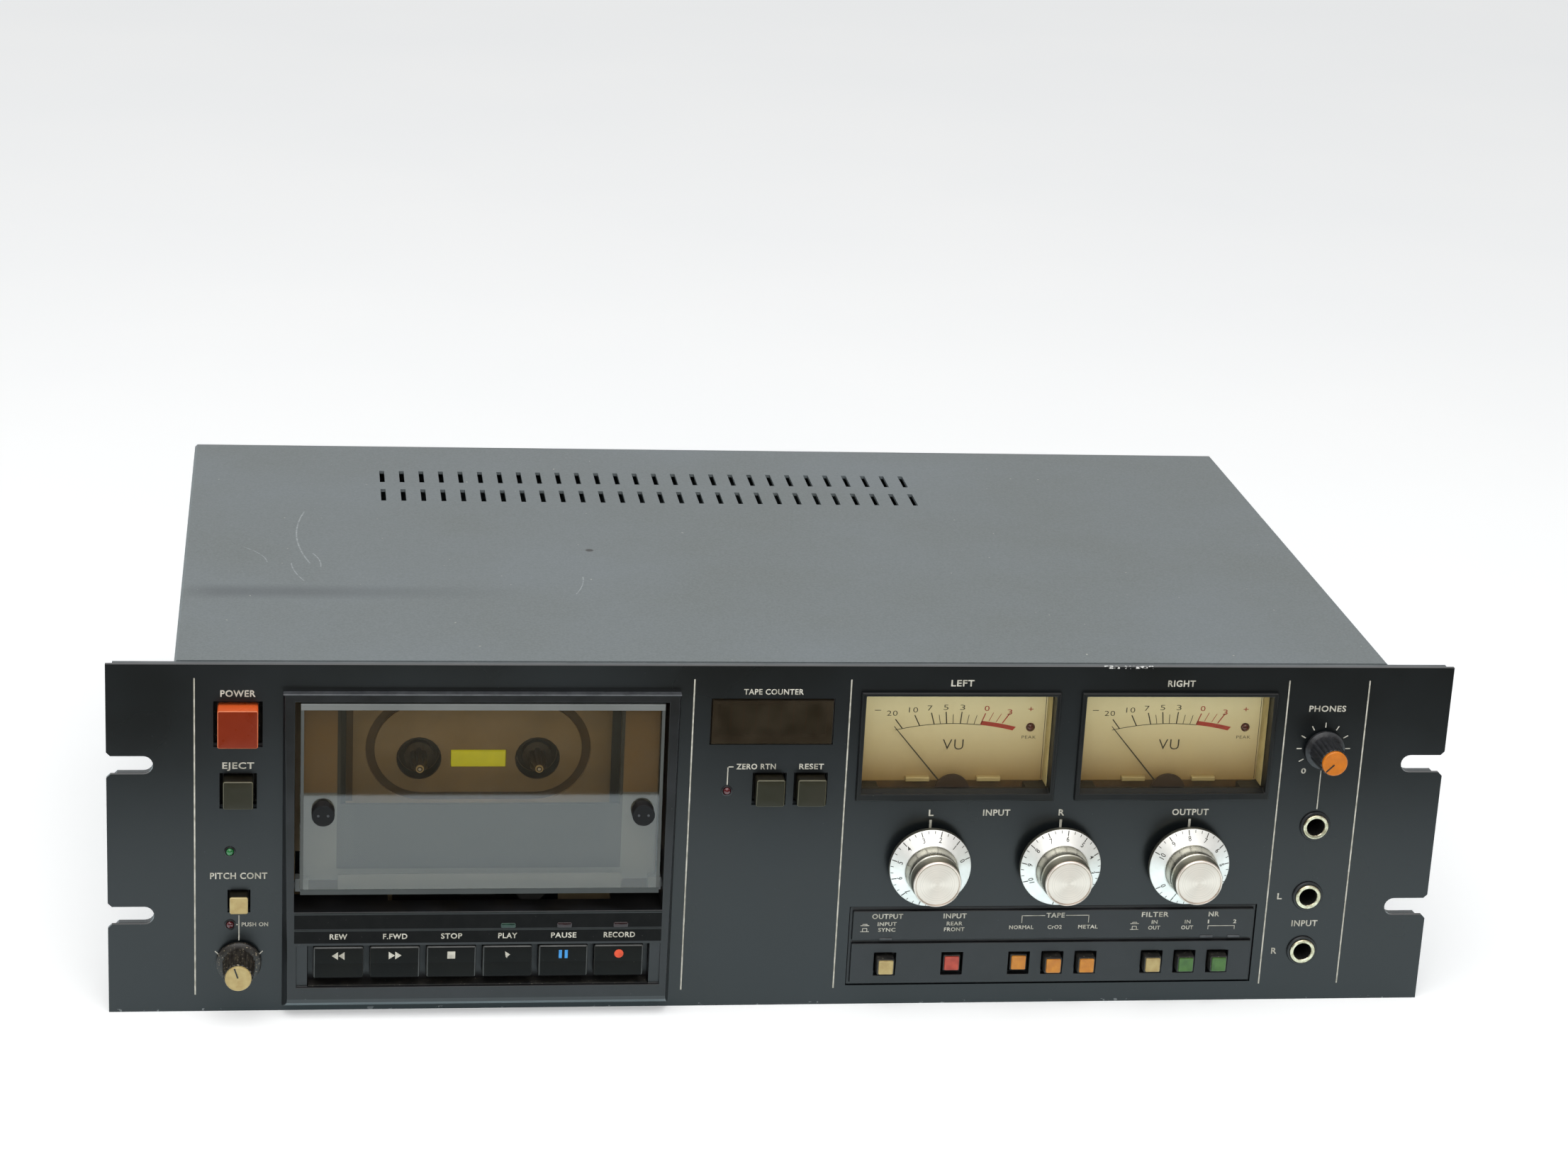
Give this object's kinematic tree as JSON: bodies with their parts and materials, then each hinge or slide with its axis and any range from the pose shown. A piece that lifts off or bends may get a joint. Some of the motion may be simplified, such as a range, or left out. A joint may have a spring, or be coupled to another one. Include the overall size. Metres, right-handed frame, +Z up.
{
  "type": "rack-mount cassette deck",
  "caption": "Rack-mount cassette deck with a tilting smoked door, transport keys, needle level meters, skirted level knobs and latching push keys.",
  "frame": {"origin": "centre of the bounding box's underside, on the surface the deck stands on", "axes": "+X to the right along the panel, +Y from the front panel to the rear, +Z up; the front faces -Y"},
  "size_m": [0.4826, 0.296, 0.132],
  "materials": {
    "black_panel_paint": "satin black paint on steel sheet",
    "grey_steel_paint": "plain grey paint on steel",
    "cover_paint": "fine textured blue-grey paint",
    "black_moulding": "satin black moulded plastic",
    "smoked_acrylic": "polished smoked acrylic",
    "clear_acrylic": "polished clear acrylic",
    "counter_acrylic": "dark smoked acrylic",
    "knob_aluminium": "spun and satin anodised",
    "knob_body": "fluted black plastic",
    "dial_card": "cream printed card on metal",
    "needle_black": "black lacquered wire",
    "transport_black": "matt black paint",
    "spindle_plastic": "black acetal",
    "bare_steel": "bare zinc-plated steel",
    "motor_can": "drawn steel can",
    "belt_rubber": "ground rubber",
    "circuit_board": "green laminate with parts",
    "transformer_iron": "varnished laminations",
    "socket_plastic": "black phenolic",
    "jack_nickel": "nickel plate",
    "power_cap": "red-orange button cap",
    "olive_cap": "dark olive button cap",
    "cream_cap": "cream key cap",
    "red_cap": "red key cap",
    "orange_cap": "orange key cap",
    "green_cap": "green key cap",
    "transport_cap": "satin black key cap"
  },
  "bodies": {
    "deck": {"front_panel": "black_panel_paint", "chassis": "grey_steel_paint", "rear_panel": "cover_paint", "top_cover": "cover_paint", "cassette_bezel": "black_moulding", "switch_escutcheon": "black_moulding", "left_meter_housing": "black_moulding", "right_meter_housing": "black_moulding", "left_meter_window": "clear_acrylic", "right_meter_window": "clear_acrylic", "left_meter_dial": "dial_card", "right_meter_dial": "dial_card", "counter_window": "counter_acrylic", "phones_jack": "jack_nickel", "left_input_jack": "jack_nickel", "right_input_jack": "jack_nickel", "transport_plate": "transport_black", "capstan_motor": "motor_can", "drive_belt": "belt_rubber", "control_board": "circuit_board", "main_board": "circuit_board", "power_transformer": "transformer_iron", "mains_inlet": "socket_plastic", "phono_sockets": "socket_plastic"},
    "power_button": {"power_button": "power_cap"},
    "eject_button": {"eject_button": "olive_cap"},
    "zero_return_button": {"zero_return_button": "olive_cap"},
    "reset_button": {"reset_button": "olive_cap"},
    "pitch_button": {"pitch_button": "cream_cap"},
    "output_select_key": {"output_select_key": "cream_cap"},
    "input_select_key": {"input_select_key": "red_cap"},
    "tape_normal_key": {"tape_normal_key": "orange_cap"},
    "tape_chrome_key": {"tape_chrome_key": "orange_cap"},
    "tape_metal_key": {"tape_metal_key": "orange_cap"},
    "filter_key": {"filter_key": "cream_cap"},
    "noise_reduction_key": {"noise_reduction_key": "green_cap"},
    "noise_type_key": {"noise_type_key": "green_cap"},
    "rewind_key": {"rewind_key": "transport_cap"},
    "fast_forward_key": {"fast_forward_key": "transport_cap"},
    "stop_key": {"stop_key": "transport_cap"},
    "play_key": {"play_key": "transport_cap"},
    "pause_key": {"pause_key": "transport_cap"},
    "record_key": {"record_key": "transport_cap"},
    "left_input_knob": {"left_input_knob": "knob_aluminium"},
    "right_input_knob": {"right_input_knob": "knob_aluminium"},
    "output_knob": {"output_knob": "knob_aluminium"},
    "pitch_knob": {"pitch_knob": "knob_body"},
    "phones_knob": {"phones_knob": "knob_body"},
    "left_meter_needle": {"left_meter_needle": "needle_black"},
    "right_meter_needle": {"right_meter_needle": "needle_black"},
    "cassette_door": {"door_window": "smoked_acrylic", "cassette_holder": "black_moulding"},
    "left_reel_spindle": {"left_reel_spindle": "spindle_plastic"},
    "right_reel_spindle": {"right_reel_spindle": "spindle_plastic"},
    "capstan_flywheel": {"capstan_flywheel": "bare_steel"},
    "motor_pulley": {"motor_pulley": "bare_steel"},
    "head_slide": {"head_slide": "bare_steel", "tape_head": "bare_steel"},
    "pinch_arm": {"pinch_arm": "bare_steel"},
    "pinch_roller": {"pinch_roller": "belt_rubber"}
  },
  "joints": [
    {"name": "power_button_push", "type": "slide", "parent": "deck", "child": "power_button", "axis": [0, 1, 0], "range_m": [0, 0.0032]},
    {"name": "eject_button_push", "type": "slide", "parent": "deck", "child": "eject_button", "axis": [0, 1, 0], "range_m": [0, 0.003], "stiffness_N_per_m": 250},
    {"name": "zero_return_button_push", "type": "slide", "parent": "deck", "child": "zero_return_button", "axis": [0, 1, 0], "range_m": [0, 0.003], "stiffness_N_per_m": 250},
    {"name": "reset_button_push", "type": "slide", "parent": "deck", "child": "reset_button", "axis": [0, 1, 0], "range_m": [0, 0.003], "stiffness_N_per_m": 250},
    {"name": "pitch_button_push", "type": "slide", "parent": "deck", "child": "pitch_button", "axis": [0, 1, 0], "range_m": [0, 0.003]},
    {"name": "output_select_key_push", "type": "slide", "parent": "deck", "child": "output_select_key", "axis": [0, 1, 0], "range_m": [0, 0.0032]},
    {"name": "input_select_key_push", "type": "slide", "parent": "deck", "child": "input_select_key", "axis": [0, 1, 0], "range_m": [-0.0032, 0]},
    {"name": "tape_normal_key_push", "type": "slide", "parent": "deck", "child": "tape_normal_key", "axis": [0, 1, 0], "range_m": [-0.0032, 0]},
    {"name": "tape_chrome_key_push", "type": "slide", "parent": "deck", "child": "tape_chrome_key", "axis": [0, 1, 0], "range_m": [0, 0.0032]},
    {"name": "tape_metal_key_push", "type": "slide", "parent": "deck", "child": "tape_metal_key", "axis": [0, 1, 0], "range_m": [0, 0.0032]},
    {"name": "filter_key_push", "type": "slide", "parent": "deck", "child": "filter_key", "axis": [0, 1, 0], "range_m": [0, 0.0032]},
    {"name": "noise_reduction_key_push", "type": "slide", "parent": "deck", "child": "noise_reduction_key", "axis": [0, 1, 0], "range_m": [0, 0.0032]},
    {"name": "noise_type_key_push", "type": "slide", "parent": "deck", "child": "noise_type_key", "axis": [0, 1, 0], "range_m": [0, 0.0032]},
    {"name": "rewind_key_push", "type": "slide", "parent": "deck", "child": "rewind_key", "axis": [0, 1, 0], "range_m": [0, 0.002], "stiffness_N_per_m": 300},
    {"name": "fast_forward_key_push", "type": "slide", "parent": "deck", "child": "fast_forward_key", "axis": [0, 1, 0], "range_m": [0, 0.002], "stiffness_N_per_m": 300},
    {"name": "stop_key_push", "type": "slide", "parent": "deck", "child": "stop_key", "axis": [0, 1, 0], "range_m": [0, 0.002], "stiffness_N_per_m": 300},
    {"name": "play_key_push", "type": "slide", "parent": "deck", "child": "play_key", "axis": [0, 1, 0], "range_m": [0, 0.002], "stiffness_N_per_m": 300},
    {"name": "pause_key_push", "type": "slide", "parent": "deck", "child": "pause_key", "axis": [0, 1, 0], "range_m": [0, 0.002], "stiffness_N_per_m": 300},
    {"name": "record_key_push", "type": "slide", "parent": "deck", "child": "record_key", "axis": [0, 1, 0], "range_m": [0, 0.002], "stiffness_N_per_m": 300},
    {"name": "left_input_knob_turn", "type": "hinge", "parent": "deck", "child": "left_input_knob", "pos_m": [0.0514, -0.127, 0.0565], "axis": [0, 1, 0], "range_deg": [-73.5, 226.5]},
    {"name": "right_input_knob_turn", "type": "hinge", "parent": "deck", "child": "right_input_knob", "pos_m": [0.0995, -0.127, 0.0565], "axis": [0, 1, 0], "range_deg": [-187.5, 112.5]},
    {"name": "output_knob_turn", "type": "hinge", "parent": "deck", "child": "output_knob", "pos_m": [0.1476, -0.127, 0.0565], "axis": [0, 1, 0], "range_deg": [-234, 66]},
    {"name": "pitch_knob_turn", "type": "hinge", "parent": "deck", "child": "pitch_knob", "pos_m": [-0.1956, -0.127, 0.0196], "axis": [0, 1, 0], "range_deg": [-117, 153]},
    {"name": "phones_knob_turn", "type": "hinge", "parent": "deck", "child": "phones_knob", "pos_m": [0.1952, -0.127, 0.1006], "axis": [0, 1, 0], "range_deg": [0, 270]},
    {"name": "left_meter_needle_swing", "type": "hinge", "parent": "deck", "child": "left_meter_needle", "pos_m": [0.0596, -0.1184, 0.0794], "axis": [0, 1, 0], "range_deg": [0, 82], "stiffness_Nm_per_rad": 0.0005},
    {"name": "right_meter_needle_swing", "type": "hinge", "parent": "deck", "child": "right_meter_needle", "pos_m": [0.1399, -0.1184, 0.0794], "axis": [0, 1, 0], "range_deg": [0, 82], "stiffness_Nm_per_rad": 0.0005},
    {"name": "cassette_door_open", "type": "hinge", "parent": "deck", "child": "cassette_door", "pos_m": [-0.111, -0.127, 0.049], "axis": [1, 0, 0], "range_deg": [0, 22]},
    {"name": "left_reel_spindle_spin", "type": "hinge", "parent": "deck", "child": "left_reel_spindle", "pos_m": [-0.13225, -0.105, 0.0883], "axis": [0, 1, 0], "continuous": true},
    {"name": "right_reel_spindle_spin", "type": "hinge", "parent": "deck", "child": "right_reel_spindle", "pos_m": [-0.08975, -0.105, 0.0883], "axis": [0, 1, 0], "continuous": true},
    {"name": "capstan_spin", "type": "hinge", "parent": "deck", "child": "capstan_flywheel", "pos_m": [-0.09, -0.087, 0.0608], "axis": [0, 1, 0], "continuous": true},
    {"name": "motor_pulley_spin", "type": "hinge", "parent": "deck", "child": "motor_pulley", "pos_m": [-0.15, -0.084, 0.06], "axis": [0, 1, 0], "continuous": true},
    {"name": "head_slide_lift", "type": "slide", "parent": "deck", "child": "head_slide", "axis": [0, 0, 1], "range_m": [0, 0.007]},
    {"name": "pinch_arm_swing", "type": "hinge", "parent": "deck", "child": "pinch_arm", "pos_m": [-0.07, -0.1097, 0.044], "axis": [0, 1, 0], "range_deg": [0, 22]},
    {"name": "pinch_roller_spin", "type": "hinge", "parent": "pinch_arm", "child": "pinch_roller", "pos_m": [-0.092, -0.1177, 0.0451], "axis": [0, 1, 0], "continuous": true}
  ],
  "couplings": [
    {"joint": "motor_pulley_spin", "follows": "capstan_spin", "ratio": 4.6667},
    {"joint": "pinch_arm_swing", "follows": "head_slide_lift", "rad_per_m": 54.8}
  ]
}
